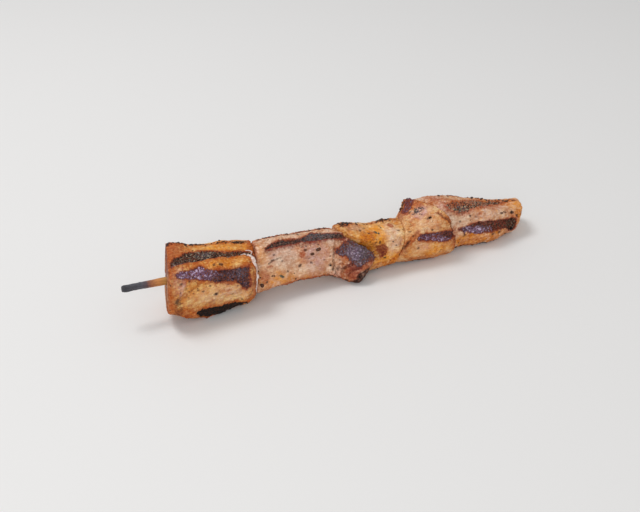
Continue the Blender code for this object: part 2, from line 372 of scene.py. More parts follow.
class Wire:
    """An output of a shader node. Sums on it add the Math nodes that work them out."""

    def __init__(self, tree, socket=None):
        self.tree = tree
        self.socket = socket

    def node(self, kind, settings=None, sockets=None, output=0):
        """Adds a node of a kind, sets it up, fills or links its sockets and gives one output."""
        added = self.tree.nodes.new(kind)
        for name, value in (settings or {}).items():
            if name == "stops":
                ramp = added.color_ramp
                ramp.elements.remove(ramp.elements[1])
                ramp.elements[0].position = value[0][0]
                ramp.elements[0].color = value[0][1]
                for place, tint in value[1:]:
                    ramp.elements.new(place).color = tint
            else:
                setattr(added, name, value)
        for name, value in (sockets or {}).items():
            if isinstance(value, Wire):
                self.tree.links.new(value.socket, added.inputs[name])
            else:
                added.inputs[name].default_value = value
        return Wire(self.tree, added.outputs[output])

    def math(self, operation, *values):
        return self.node("ShaderNodeMath", {"operation": operation}, dict(enumerate(values)))

    def __add__(self, other):
        return self.math("ADD", self, other)

    def __sub__(self, other):
        return self.math("SUBTRACT", self, other)

    def __rsub__(self, other):
        return self.math("SUBTRACT", other, self)

    def __mul__(self, other):
        return self.math("MULTIPLY", self, other)

    __radd__ = __add__

    def between(self, low, high):
        """0 at low and 1 at high, straight between them."""
        spread = {"Value": self, "From Min": low, "From Max": high}
        return self.node("ShaderNodeMapRange", {"clamp": True}, spread)

    def noise(self, scale, detail, roughness=0.5):
        """Random values from 0 to 1 over this place."""
        sockets = {"Vector": self, "Scale": scale, "Detail": detail, "Roughness": roughness}
        return self.node("ShaderNodeTexNoise", None, sockets)

    def bump(self, strength, depth):
        """The normal of a surface that this value raises, to a depth in millimetres."""
        sockets = {"Strength": strength, "Distance": depth * MM, "Height": self}
        return self.node("ShaderNodeBump", None, sockets)

    def blend(self, under, over, how="MIX"):
        """Two colours mixed by this value, or one laid over the other in another way."""
        settings = {"data_type": "RGBA", "blend_type": how}
        return self.node("ShaderNodeMix", settings, {0: self, 6: under, 7: over}, output=2)

    def shade(self, material, **sockets):
        """Links or sets the sockets of the material's shader, named with _ for a space."""
        shader = material.node_tree.nodes["Principled BSDF"]
        for name, value in sockets.items():
            socket = shader.inputs[name.replace("_", " ")]
            if isinstance(value, Wire):
                self.tree.links.new(value.socket, socket)
            else:
                socket.default_value = value


def new_material(name):
    """An empty material and a wire to build it with."""
    material = bpy.data.materials.new(name)
    material.use_nodes = True
    return material, Wire(material.node_tree)


RUST = colour(182, 78, 14)
MAROON = colour(112, 36, 28)
CHAR_BLACK = colour(16, 12, 10)
CHAR_BROWN = colour(104, 54, 30)
# Grey ash, and the painted blue-grey highlight in the middle of the flap's patch.
ASH_AND_PAINTED_HIGHLIGHT = colour(112, 108, 116)
# A painted purple sheen on glazed char, and the painted glints in it.
PAINTED_SHEEN_DARK = colour(140, 100, 130)
PAINTED_SHEEN_GLINT = colour(230, 206, 236)
# Pale grains in the char, with painted glints of light on them.
GRIT_GLINT = colour(226, 210, 180)
AMBER = colour(222, 126, 24)
FAT = colour(250, 224, 196)
GOLD = colour(255, 170, 0)
PINK = colour(228, 190, 186)
SPECK = colour(70, 34, 12)


def pork_material(name, dark, middle, light, amber_share=0.5):
    """Grilled pork: mottled lean with fine fibres and painted highlights, its stains over it with a
    painted purple sheen and painted glints in the burns, and a thin greasy gloss.
    """
    material, wire = new_material(name)
    dark, middle, light = colour(*dark), colour(*middle), colour(*light)
    place = wire.node("ShaderNodeTexCoord", output=3)
    drawn_out = wire.node("ShaderNodeMapping", None, {"Vector": place, "Scale": (0.2, 1.0, 1.0)})

    def spots(size, detail, where=place, roughness=0.55):
        return where.noise(1 / (size * MM), detail, roughness)

    tone = spots(5.0, 3, roughness=0.62).between(0.34, 0.66)
    amber = spots(2.9, 2).between(0.48, 0.64)
    blotch = spots(2.0, 2).between(0.42, 0.6)
    cream_and_highlight = spots(1.5, 2).between(0.5, 0.66)
    grain = spots(0.9, 1).between(0.34, 0.66)
    fine = spots(0.5, 1).between(0.28, 0.72)
    fibre = spots(0.7, 2, drawn_out).between(0.36, 0.64)
    cell = wire.node("ShaderNodeTexVoronoi", None, {"Vector": place, "Scale": 1 / (1.9 * MM)})
    speck = ((spots(3.1, 1) - 0.46) * 1.1 - cell).between(0.0, 0.07)

    def stain(name, broken=0.6):
        amount = wire.node("ShaderNodeAttribute", {"attribute_name": name}, output=2)
        edge = amount + (fine + grain - 1.0) * 0.6 * broken * (amount * (1 - amount) * 4)
        return edge.between(0.0, 1.0)

    char = stain("char", broken=1.2).between(0.25, 0.75)
    # A painted purple sheen over burnt places, and painted glints of light in it.
    bloom = stain("bloom")
    painted_glint = spots(0.95, 2).between(0.5, 0.64)
    soot = spots(0.8, 1).between(0.4, 0.6)
    # Painted glints of light on pale grains in the char.
    grit_glint = spots(0.65, 1).between(0.55, 0.62)

    stops = ((0.0, dark), (0.42, middle), (1.0, light))
    tint = tone.node("ShaderNodeValToRGB", {"stops": stops}, {"Fac": tone})
    tint = (amber * amber_share).blend(tint, AMBER)
    # The cream spots lighten the lean: pale mottling, with painted soft highlights in it.
    tint = (cream_and_highlight * 0.6).blend(tint, light)
    tint = (stain("gold") * (0.4 + blotch * 0.55)).blend(tint, GOLD)
    tint = (stain("pink") * (0.35 + blotch * 0.6)).blend(tint, PINK)
    tint = (stain("fat") * (0.45 + blotch * 0.5)).blend(tint, FAT)
    tint = (stain("rust") * (0.7 + fine * 0.2)).blend(tint, RUST)
    tint = (grain * 0.24).blend(tint, colour(186, 116, 60), "MULTIPLY")
    tint = ((1 - fibre) * 0.45).blend(tint, colour(200, 132, 78), "MULTIPLY")
    tint = (speck * 0.8).blend(tint, SPECK)
    tint = (stain("fleck") * 0.9).blend(tint, SPECK)
    tint = (stain("maroon") * (0.7 + fine * 0.3)).blend(tint, MAROON)
    burnt = (soot * (0.25 + stain("maroon") * 0.75)).blend(CHAR_BLACK, CHAR_BROWN)
    burnt = (stain("ash") * (0.4 + soot * 0.6)).blend(burnt, ASH_AND_PAINTED_HIGHLIGHT)
    # The painted purple sheen and its painted glints over the char.
    burnt = (bloom * 0.9).blend(burnt, PAINTED_SHEEN_DARK)
    burnt = (painted_glint * bloom).blend(burnt, PAINTED_SHEEN_GLINT)
    burnt = (grain.between(0.3, 0.1) * bloom * 0.8).blend(burnt, CHAR_BLACK)
    # Pale grains with painted glints over the char.
    burnt = (grit_glint * stain("grit") * 0.85).blend(burnt, GRIT_GLINT)
    tint = char.blend(tint, burnt)

    height = grain * 0.5 + fibre * 0.4 + fine * 0.12 + cream_and_highlight * 0.4 + char * fine * 1.4 - speck * 0.4
    wire.shade(
        material,
        Base_Color=tint,
        Roughness=0.42 + grain * 0.22 + stain("rust") * 0.15 - bloom * 0.14,
        Normal=height.bump(1.0, BUMP_DEPTH),
        Specular_IOR_Level=0.28,
        Coat_Weight=(1 - stain("rust")) * 0.12 + bloom * 0.15,
        Coat_Roughness=0.12,
    )
    return material


block = Surface("pork_1_block", FIRST_CUT, BLOCK_TO_SLAB, seed=3)
block.wash("rust", (1.0, -65, 98, 14, 16), (0.45, -52, 49, 34, 5), (0.6, -55, -52, 22, 6))
block.wash("rust", (0.8, -64, -40, 10, 8))
block.wash("pink", (0.8, -65.5, 26, 5, 10))
block.wash("gold", (0.7, -42, 102, 24, 12), (0.7, -47, 48, 28, 5), (0.45, -54, 2, 22, 6))
block.wash("fat", (0.5, -46, -12, 26, 10))
block.wash("fleck", (0.5, -66.5, -32, 3, 12))
block.dab("fleck", (0.9, -67, -12, 1.5, 3))
browned_rim = 0.45 + 0.45 * rise(block.radius + block.noise(1.8, 7), 8, 12)
block.stain("rust", browned_rim * (1 - rise(block.past_start + 0.8 * block.noise(1.8, 6), 1.0, 6.0)))
block.stain("rust", 0.9 * (1 - rise(block.before_end + 0.8 * block.noise(1.6, 5), 0.6, 4.4)))
black_bar = block.bar(
    lower=(
        (-68, 50), (-64.9, 53), (-59.8, 59), (-53, 60), (-44.8, 62), (-38, 59), (-35.2, 53),
        (-33, 45),
    ),
    upper=(
        (-68, 56), (-66.9, 61), (-64.6, 72), (-61.4, 82), (-57.6, 92), (-50.8, 93), (-46.8, 84),
        (-43.9, 76), (-36.8, 77), (-33, 66),
    ),
)
# The black top bar, with pale grains and painted glints in it.
block.sear(black_bar, char=0.82, maroon=0.9, grit=0.3, sink=0.4)
block.wash("grit", (0.6, -56, 80, 14, 5))
purple_bar = block.bar(
    lower=(
        (-66.6, 34), (-66, 31), (-59.1, 25), (-54.6, 19), (-51.5, 13), (-47.4, 11), (-42.7, 6),
        (-41, -2), (-40, -12), (-38, -16), (-37, -10),
    ),
    upper=(
        (-66.6, 38), (-64, 41), (-61.6, 41), (-58.1, 43), (-55.7, 47), (-54.8, 38), (-50.2, 33),
        (-44.2, 29), (-41.4, 30), (-37, 29),
    ),
    ragged=0.5,
)
# The front bar: dark maroon, under a painted purple sheen on its left.
block.sear(purple_bar, char=0.74, maroon=0.95, bloom=0.12, sink=0.3)
block.wash("bloom", (1.0, -60, 34, 14, 7, -12))
block.wash("ash", (0.5, -52.5, 78, 6, 3), (0.6, -40.5, 20, 6, 4))
block.sear(
    block.bar(
        lower=((-59, -46), (-54, -56), (-46, -62), (-40, -62), (-37, -52)),
        upper=((-59, -40), (-56.6, -38), (-48.3, -41), (-41, -44), (-37, -44)),
    ),
    char=1.0,
    maroon=0.0,
)
# Bars on the back: pale grains with painted glints on one, a painted purple sheen on the other.
block.sear(block.bar(((-63, 144), (-34, 152)), ((-63, 157), (-34, 163))), char=0.9, grit=0.5)
block.sear(block.bar(((-65, 194), (-36, 187)), ((-65, 207), (-36, 199))), char=0.85, bloom=0.4)
block.sear(block.blot(-65.5, 122, 5, 3.5), char=1.0, ash=0.4, sink=0.0, halo=1.2)
block.crust(-58, 24, 124, 2.6)
block.crust(-38, 16, 122, 2.2)
block.crust(-62, 14, -62, 4, 0.7)
block.darken_seam(block.past_start, 0.3, 1.2)
block.stains["rust"] *= 1 - 0.45 * rise(block.blot(-66, 30, 6, 10), -0.8, 1.6)
rim_line = ((-37.6, 30), (-37, 14), (-36.4, -2), (-36.8, -14))
block.streak("maroon", 0.6, rim_line, 1.2, edge=(-0.5, 0.4))
for rim_line in (((-35.6, 26), (-35, 8), (-35.4, -12)), ((-34.6, 2), (-34.8, -18), (-36.6, -30))):
    block.streak("fleck", 0.35, rim_line, 0.6, 0.4)
block.groove(((-64, -30), (-56, -34), (-50, -27), (-44, -30)), 0.6, 0.35)
block.groove(((-58, -22), (-52, -18), (-45, -22)), 0.5, 0.2)
block.crag(coarse=0.24)
block.specks(
    (-51.2, -12, 1.2), (-58.5, 4, 0.9), (-63.3, 10, 0.9), (-65.1, 22, 0.8), (-46.2, 4, 0.8),
    (-55.5, 13, 0.7), (-48, 42, 1.0), (-50.8, 43, 0.8), (-39.8, -36, 0.9), (-61, 5, 0.9),
    (-42, -4, 0.6), (-60.2, -3, 0.6), (-56.4, -2, 0.6), (-53.4, 6, 0.6), (-62.4, -8, 0.5),
    (-49, -4, 0.5), (-44, -20, 0.6),
)
block_pork = pork_material("browned_pork", (174, 94, 26), (222, 158, 76), (248, 212, 140))
block.finish(block_pork)

# ----------
# Second piece: a long pale slab of loin, pink where the lean shows, with one grey-brown bar stripe
# along its upper edge. Its far end is a flap that hangs forward over the next piece, seared dark,
# with a painted purple sheen and a painted blue-grey highlight on its seared patch.
# ----------
SLAB_TO_MIDDLE = Cut(7.6, 0.15, 0.0, tongue=23, gap=1.0)

slab = Surface("pork_2_slab", BLOCK_TO_SLAB, SLAB_TO_MIDDLE, seed=11)
slab.wash("pink", (0.9, -20, 42, 12, 8), (0.7, -5, 26, 13, 10), (0.6, -6, -10, 8, 7))
slab.wash("fat", (0.6, -11, -16, 9, 4), (0.9, -20, 28, 8, 9), (0.8, -18, 14, 9, 9))
slab.wash("fat", (0.7, -14, 104, 26, 5), (0.3, -28, 30, 5, 9), (0.7, -27, -4, 6, 6))
slab.wash("gold", (0.25, 0, 8, 6, 14), (0.8, -25, -16, 12, 8), (0.6, -28, 22, 5, 16))
slab.wash("gold", (0.7, -12.3, 26, 3.6, 12), (0.5, -17, -30, 22, 4))
slab.wash("rust", (0.8, -28.6, -14, 4, 5), (0.5, -11.5, 40, 3, 7), (0.5, -6, -40, 26, 3))
slab.dab("rust", (0.8, -11.3, 32, 3.2, 2.2), (0.7, -26.2, 12, 3, 1))
top_bar = slab.bar(
    lower=(
        (-27, 62), (-23.6, 64), (-17.9, 67), (-10.2, 67), (-6.8, 63), (-1.4, 61), (2.4, 56), (8, 50),
    ),
    upper=(
        (-27, 64), (-22.6, 77), (-19.5, 83), (-15.3, 80), (-11.6, 74), (-9.1, 77), (-4.8, 92),
        (-0.3, 86), (3, 75), (8, 62),
    ),
    ragged=0.35,
)
bar_edge = ((-27, 60), (-23.6, 63), (-17.9, 65), (-10.2, 65), (-6.8, 62), (-1.4, 59), (8, 50))
# The grey-brown top bar, with a few pale grains and painted glints.
slab.sear(top_bar, char=0.8, maroon=0.9, grit=0.15, ash=0.15, sink=0.45, halo=0.7)
slab.wash("ash", (0.7, -2, 78, 14, 5))
slab.streak("maroon", 0.7, bar_edge, 1.6, edge=(-1.0, 0.6))
for along in (-20, -2):
    slab.relief += 0.5 * rise(slab.blot(along, 108, 15, 7), -0.5, 1.5)
for top_line in (
    ((-26, 112), (-18, 106), (-11, 100), (-9, 96)),
    ((-11, 108), (-6, 112), (0, 108), (4, 102)),
    ((-10.4, 92), (-11.2, 104), (-12, 120)),
):
    slab.groove(top_line, 0.8, 0.5)
    slab.streak("fleck", 0.9, top_line, 0.8, 0.5)
flap_patch = slab.bar(
    lower=((4.0, 12), (5.8, 2), (8, 0), (9.3, -8), (11, -14), (13, -12), (16.6, -11), (25, -20)),
    upper=((4.0, 26), (5.7, 34), (7.1, 40), (9, 44), (10.5, 48), (13, 46), (16, 34), (25, 30)),
)
# The flap's seared patch, dark and maroon at its rim. The blue-grey in its middle is a painted
# highlight, and its purple and pale dots are a painted sheen and painted glints.
slab.sear(flap_patch, char=0.58, maroon=0.9, bloom=0.16, grit=0.15, ash=0.4, sink=0.2, halo=1.6)
slab.wash("char", (0.8, 13, 7, 10, 7))
slab.wash("ash", (0.9, 11.5, 9, 7, 6), (0.4, 16, 2, 5, 4))
slab.wash("bloom", (0.35, 11, 10, 6, 5))
slab.dab("maroon", (0.8, 10.5, -14, 6, 2.4))
cut_edge = slab.bar(
    lower=((9.4, -54), (12, -50), (14, -44), (16, -40), (19, -34)),
    upper=((9.4, -40), (10.6, -31), (11.2, -25), (12.3, -21.5), (14.8, -20), (19, -21)),
    ragged=0.3,
)
slab.stain("char", 0.62 * rise(cut_edge, -0.2, 0.3))
slab.stain("maroon", 0.6 * rise(cut_edge, -0.2, 0.3))
slab.stain("fleck", 0.8 * rise(cut_edge, -0.7, 0.1))
slab.relief -= 0.35 * rise(cut_edge, -0.2, 0.4)
slab.wash("rust", (0.6, 8.5, -30, 10, 9), (0.8, 15, -17, 8, 3), (0.9, 9.5, -26, 5, 6))
slab.wash("maroon", (0.55, 9.5, -25, 6, 5))
for lip_line in (
    ((7.2, -36), (8.2, -26), (10.0, -19), (12.8, -15), (17, -14)),
    ((5.6, -24), (7.4, -17), (9.4, -13)),
    ((3.9, -26), (4.6, -15), (5.8, -12), (6.6, -20), (5.6, -30)),
    ((3.5, 42), (2.8, 19), (2.2, -4), (2.2, -23), (3.5, -41)),
):
    slab.groove(lip_line, 0.8, 0.5)
    slab.streak("fleck", 0.55, lip_line, 0.7, 0.5, (-0.4, 0.4))
slab.crust(-8, 34, -46, 3, 0.6)
slab.crust(-16, 22, 116, 2.4, 0.8)
slab.crust(0, 14, 112, 2.2, 0.8)
slab.darken_seam(slab.past_start, 0.9, 1.3)
slab.streak("fleck", 0.7, ((-26.4, 22), (-24, 30), (-20.5, 34)), 0.6, 0.4)
# A bar on the back, with pale grains and painted glints.
slab.sear(slab.bar(((-24, 167), (4, 162)), ((-24, 184), (4, 178))), char=0.85, grit=0.3)
slab.crag(coarse=0.24, fine=0.18, fibre=0.06)
slab.specks(
    (-6.8, 25, 1.1), (-9.7, 43, 0.9), (-9.0, 54, 0.7), (-23.8, 45, 0.9), (-12.9, -5, 1.0),
    (-18.3, -13, 0.8), (0.4, -15, 1.2), (-7.8, 0, 0.8), (1.7, -25, 1.1), (-25, 30, 0.8),
    (3.2, -24, 0.7), (7.6, -42, 1.0), (-8.4, 12, 0.6), (-20.5, 22, 0.6), (-15, 20, 0.5),
    (-2, 0, 0.6), (1.0, 8, 0.6), (-11, 54, 0.7),
)
slab_pork = pork_material("pale_pork", (188, 122, 70), (212, 160, 118), (248, 222, 198), 0.3)
slab.finish(slab_pork)

# ----------
# Third piece: golden, fatty pork half behind the flap, with cream fat at its far end and one small
# wine red patch beside the flap.
# ----------
MIDDLE_TO_FOLD = Cut(37.2, 0.35, 0.3)

middle = Surface("pork_3_middle", SLAB_TO_MIDDLE, MIDDLE_TO_FOLD, seed=23)
middle.wash("gold", (1.0, 20, 40, 12, 9), (0.7, 24, 70, 10, 8), (0.7, 28, -20, 16, 8))
middle.wash("gold", (1.0, 25.8, 34, 4.4, 5), (0.6, 29, -8, 8, 5))
middle.wash("rust", (0.7, 18.5, 38, 7, 5), (0.4, 13, 96, 9, 7), (0.6, 26, -36, 24, 4))
middle.wash("fat", (0.9, 29.5, 18, 6, 9), (0.9, 31, 50, 6, 8), (0.5, 16, 80, 9, 5))
middle.dab("gold", (1.0, 29.6, 66, 3, 5, 40))
middle.dab("rust", (0.9, 32.1, 73, 2.6, 3.6), (0.8, 21, 54, 4.6, 1.8))
middle.sear(middle.blot(23.6, 4, 4.4, 5.6), char=0.0, maroon=0.68, sink=0.0, halo=0.8)
middle.crust(13, 7, 116, 7, 1.0)
middle.crust(30, 12, 112, 2.5, 0.8)
middle.crust(25, 18, -52, 3, 0.8)
middle.darken_seam(middle.past_start, 0.35, 0.8)
middle.plump(middle.before_end, 0.5)
middle.groove(((31.2, 40), (33.1, 22), (32.4, 8)), 0.6, 0.4)
low_crease = ((29.2, -24), (30.6, -19), (31.8, -11), (32.8, -4))
middle.groove(low_crease, 0.9, 0.5)
# The low crease is coloured darker brown along its length.
middle.streak("rust", 0.6, low_crease, 1.8, edge=(-0.8, 0.5))
middle.groove(((20, 62), (24, 56), (29, 60)), 0.7, 0.35)
# A bar on the back, with pale grains and painted glints.
middle.sear(middle.bar(((8, 153), (36, 145)), ((8, 167), (36, 159))), char=0.85, grit=0.4)
middle.crag(coarse=0.36, fine=0.18)
middle.specks(
    (19.7, 52, 1.3), (20.4, 83, 1.1), (18.4, 30, 0.9), (20.9, 26, 1.0), (25.6, -14, 1.1),
    (33.6, 43, 1.0), (22.6, 24, 1.2), (27, 80, 0.8), (16.5, 66, 0.9), (34, 3, 1.2),
)
middle_pork = pork_material("golden_pork", (180, 100, 20), (226, 164, 82), (252, 220, 162))
middle.finish(middle_pork)

# ----------
# Fourth piece: a lobe folded over on itself, smooth and tan in front, with a seared wine red
# shoulder at its top and one maroon bar mark low on its front, both with a painted purple sheen.
# ----------
FOLD_TO_TAIL = Cut(53.5, -0.55, -0.2)

fold = Surface("pork_4_fold", MIDDLE_TO_FOLD, FOLD_TO_TAIL, seed=31)
fold.wash("rust", (0.8, 51, 104, 9, 10), (0.6, 54, 96, 4, 7), (0.6, 47, -34, 20, 5))
fold.wash("gold", (0.7, 48, -12, 16, 8))
fold.wash("pink", (1.0, 46.4, 74, 8, 6), (0.5, 43, 2, 7, 6))
fold.wash("fat", (0.4, 46, 38, 10, 6), (0.7, 48, 53, 4.4, 2.6))
fold.dab("rust", (0.9, 42.2, 104, 2.4, 5))
shoulder = fold.blot(45.6, 116, 8, 4.6, lean=25, ragged=0.8)
# The shoulder: seared wine red, with some painted purple sheen.
fold.sear(shoulder, char=0.35, maroon=1.0, bloom=0.35, sink=0.1, halo=2.0)
fold.wash("ash", (0.6, 45.5, 80, 6, 3))
fold.wash("char", (0.45, 45.5, 80, 6, 3))
seam_line = fold.line(((51.9, 57), (53.3, 48), (55.5, 42), (57, 33), (58.1, 21), (59.2, -4)), 0.9)
fold.stain("rust", 0.8 * rise(seam_line, -0.9, 0.0))
fold.stain("fleck", 0.6 * rise(seam_line, -0.3, 0.3))
fold.relief -= 0.2 * rise(seam_line, -0.4, 0.3)
front_bar = fold.bar(
    lower=((40.5, 15), (45.6, 10), (50.4, 6), (55.4, 2), (57.3, 5), (59.5, 11)),
    upper=((40.5, 19), (42.2, 24), (44.3, 25), (48, 22), (52, 23), (56, 21), (59.5, 18)),
    ragged=0.4,
)
# The front bar: maroon, with a painted purple sheen along it.
fold.sear(front_bar, char=0.6, maroon=1.0, bloom=0.1, halo=1.4)
fold.wash("bloom", (1.0, 50, 10, 14, 2.4, -14))
fold.crust(48, 16, 132, 2.4, 0.8)
fold.crust(44, 20, -50, 3, 0.8)
covered = 3 * rise(fold.angle, 62, 80) + 3 * rise(-fold.angle, 20, 40)
fold.darken_seam(fold.before_end + covered, 1.0, 1.4)
fold.plump(fold.past_start, 0.5)
fold.groove(((40.6, 64), (43.6, 60), (45.7, 54), (47.7, 50), (50.4, 50)), 0.8, 0.5)
fold.groove(((43.2, 32), (45.4, 29), (46.2, 35)), 0.5, 0.25)
front_crease = ((33.4, -10), (34.3, -2), (36.6, 14), (38, 20), (41, 28))
fold.groove(front_crease, 0.9, 0.5)
# The front crease is coloured darker brown along its length, with dark flecks in its middle.
fold.streak("rust", 0.7, front_crease, 2.2, edge=(-0.8, 0.5))
fold.streak("fleck", 0.75, front_crease[1:3], 1.1, edge=(-0.4, 0.4))
hole = rise(fold.blot(48, 53, 2.0, 0.9, ragged=0.1), -0.3, 0.4)
fold.relief -= 0.7 * hole
fold.stain("char", hole)
fold.crag(coarse=0.22, fine=0.14, fibre=0.06)
fold.specks(
    (40.8, -3, 1.2), (37.9, 34, 0.9), (45, 86, 1.2), (47.4, 80, 0.9), (44, 78, 0.8), (43.2, 90, 1.0),
    (52, -18, 0.7), (40, 52, 0.7),
    amount=0.85,
)
fold_pork = pork_material("folded_pork", (190, 118, 60), (224, 164, 98), (246, 208, 154))
fold.finish(fold_pork)

# ----------
# Last piece: it tapers to the cut end, pale and creamy in front, between two bar marks: a black and
# rusty one along its top, with pale grains and painted glints, and a maroon one low on its front
# under a painted purple sheen.
# ----------
LAST_CUT = Cut(101.2, 0.5, 0.3)

tail = Surface("pork_5_tail", FOLD_TO_TAIL, LAST_CUT, seed=47)
# Rust-brown patches. The small one low beside the seam to the fold, at 61 mm, is painted seam shade.
tail.wash("rust", (0.8, 56, 98, 9, 12), (0.7, 61, 7, 4, 6), (0.6, 82, 60, 16, 4))
tail.wash("rust", (0.55, 74, -22, 24, 5), (0.5, 92, 84, 8, 5), (0.4, 95, 28, 5, 4))
tail.wash("pink", (0.7, 57, 60, 7, 12), (0.3, 76, 42, 22, 8))
tail.wash("fat", (1.0, 64, 38, 14, 11), (0.4, 88, 44, 10, 6))
tail.wash("gold", (0.8, 97, 60, 9, 16), (0.9, 72, -20, 26, 7), (0.6, 84, 105, 24, 6))
high_bar = tail.bar(
    lower=(
        (58.5, 64), (62.3, 57), (66.3, 55), (69.8, 57), (74.2, 58), (78.9, 62), (87.6, 80),
        (93.5, 100),
    ),
    upper=(
        (58.5, 73), (62.4, 78), (67.2, 81), (72.6, 87), (78.5, 99), (83.1, 100), (89.1, 116),
        (93.5, 120),
    ),
    ragged=1.0,
)
# The top bar: black and rusty, with many pale grains and painted glints.
tail.sear(high_bar, char=0.38, maroon=0.3, grit=0.8)
tail.wash("ash", (0.9, 64.5, 59, 5, 4))
bar_middle = ((63, 62), (68, 62), (74, 68), (82, 84), (90, 104))
tail.streak("char", 0.42, bar_middle, 2.6, 0.8, (-0.5, 0.8))
low_bar = tail.bar(
    lower=(
        (63.8, 12), (67.1, 3), (70.1, -2), (73.5, -3), (82.1, -3), (88.2, -4), (90.6, -14), (94, -20),
    ),
    upper=(
        (63.8, 15), (68.2, 18), (70.6, 23), (73.1, 26), (78.3, 24), (87.1, 18), (90, 17), (94, 14),
    ),
    ragged=0.4,
)
# The low bar: maroon with a few painted glints, a painted purple sheen along its left, and a black
# blot with painted glints at its end.
tail.sear(low_bar, char=0.55, maroon=1.0, grit=0.15, halo=1.0)
tail.wash("bloom", (1.0, 72, 4, 12, 3.4, -8))
tail.stain("char", 0.8 * rise(tail.blot(72, 6, 12, 4), -0.3, 0.8))
tail.sear(tail.blot(92, -1, 5, 6), char=0.95, grit=0.1, sink=0.1)
tail.crust(75, 34, 122, 2.4, 0.9)
tail.crust(97, 8, 104, 3, 0.7)
tail.crust(74, 26, -44, 2.6, 0.7)
# A bar on the back, with pale grains and painted glints.
tail.sear(tail.bar(((60, 158), (90, 153)), ((60, 172), (90, 167))), char=0.85, grit=0.4)
tail.crag(coarse=0.26, fine=0.16)
tail.specks(
    (86.3, 36, 1.1), (88.5, 37, 0.9), (92.6, 34, 1.6), (67, -8, 1.1), (81, -11, 1.2),
    (84.5, -11, 1.0), (69.4, 44, 0.8), (64.5, 37, 0.8), (94.7, 23, 1.2), (93.3, 8, 1.4),
    (72, 40, 0.6),
)
tail_pork = pork_material("creamy_pork", (192, 120, 60), (230, 176, 120), (254, 230, 204), 0.35)
tail.finish(tail_pork)

# ----------
# The stick: a turned round wooden skewer. Its bare end has burnt to cracked blue-black charcoal, and
# the wood goes through brown and ochre to where the meat kept it from the fire.
# ----------
BURNT_END = STICK_BLUNT_END + 12.0
TOASTED_LENGTH = 20
MEAT_START = -70.0
# The wood's colours over the toasted length, from the blunt end on.
TOASTING = (
    (0.0, colour(52, 52, 58)), (0.4, colour(84, 84, 94)), (0.5, colour(96, 76, 82)),
    (0.58, colour(164, 104, 70)), (0.72, colour(214, 146, 82)), (0.86, colour(206, 150, 78)),
    (1.0, colour(190, 134, 70)),
)

stick = Surface("stick", FIRST_CUT, LAST_CUT, seed=5)
bare = 1 - rise(stick.along, MEAT_START - 2, MEAT_START)
burnt = 1 - rise(stick.along, BURNT_END - 4, BURNT_END + 2)
stick.relief = bare * (0.05 * stick.noise(0.8, 1, stretch=8) - 0.05)
stick.relief += burnt * (0.12 * stick.noise(1.3, 2, stretch=2) + 0.08 * stick.noise(0.7, 3) - 0.1)
stick.relief -= 0.3 * (1 - rise(stick.along, STICK_BLUNT_END, STICK_BLUNT_END + 1.2))
stick.places += stick.normals * stick.relief[:, None]
stick.write()

stick_material, wire = new_material("skewer_wood")
place = wire.node("ShaderNodeTexCoord", output=3)
sideways = wire.node("ShaderNodeSeparateXYZ", None, {"Vector": place})
grain_lines = wire.node("ShaderNodeMapping", None, {"Vector": place, "Scale": (0.06, 1.0, 1.0)})
grain = grain_lines.noise(3200, 3)
ash = place.noise(1400, 3)
from_blunt = sideways * (1 / MM) + (ash - 0.5) * 3.0 - blunt_centre[0] / MM
burn = from_blunt.between(0, TOASTED_LENGTH)
tint = burn.node("ShaderNodeValToRGB", {"stops": TOASTING}, {"Fac": burn})
tint = (grain.between(0.35, 0.7) * 0.45).blend(tint, colour(120, 84, 60), "MULTIPLY")
wire.shade(stick_material, Base_Color=tint, Roughness=0.45 + grain * 0.3)
wire.shade(stick_material, Normal=(grain + ash).bump(0.6, 0.15))
stick.thing.data.shade_smooth()
stick.thing.data.materials.append(stick_material)
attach(stick.thing, "root")
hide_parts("stick")

# ----------
# Fat strand: a soft branching string of melted fat squeezed out between the block and the slab. It
# sticks to the block's rim, and its branches to the block's top and to the slab.
# ----------
STRAND_SIDES = 12
STRAND_RINGS = 9
STRAND_FLATNESS = 0.7
STRAND_LIFT = 0.15
# The piece that each string lies on, and its places, angles and reaches.
STRANDS = (
    (
        block,
        (
            (-37.6, 64, 0.3), (-35.6, 60, 0.4), (-34.4, 50, 0.7), (-33.9, 42, 1.2), (-34.2, 34, 0.8),
            (-33.7, 24, 0.4), (-33.8, 12, 0.5), (-33.4, 4, 0.75), (-33.5, -8, 0.4), (-33.3, -20, 0.5),
            (-33.7, -32, 0.3),
        ),
    ),
    (
        block,
        ((-34.6, 50, 0.4), (-33.4, 58, 0.3), (-32.6, 66, 0.35), (-33.4, 74, 0.3), (-34.8, 78, 0.2)),
    ),
    (
        slab,
        (
            (-33.6, 44, 0.35), (-32.6, 38, 0.35), (-32.2, 28, 0.25), (-32.4, 18, 0.3),
            (-33.4, 10, 0.25),
        ),
    ),
)


def closed_mesh(name, places, faces):
    """An object from places in the stick's frame, kept inside the solids' box."""
    world = np.clip(to_world(np.array(places)), cad_box[0], cad_box[1])
    mesh = bpy.data.meshes.new(name)
    mesh.from_pydata([tuple(point) for point in world], [], faces)
    thing = bpy.data.objects.new(name, mesh)
    bpy.context.scene.collection.objects.link(thing)
    return thing


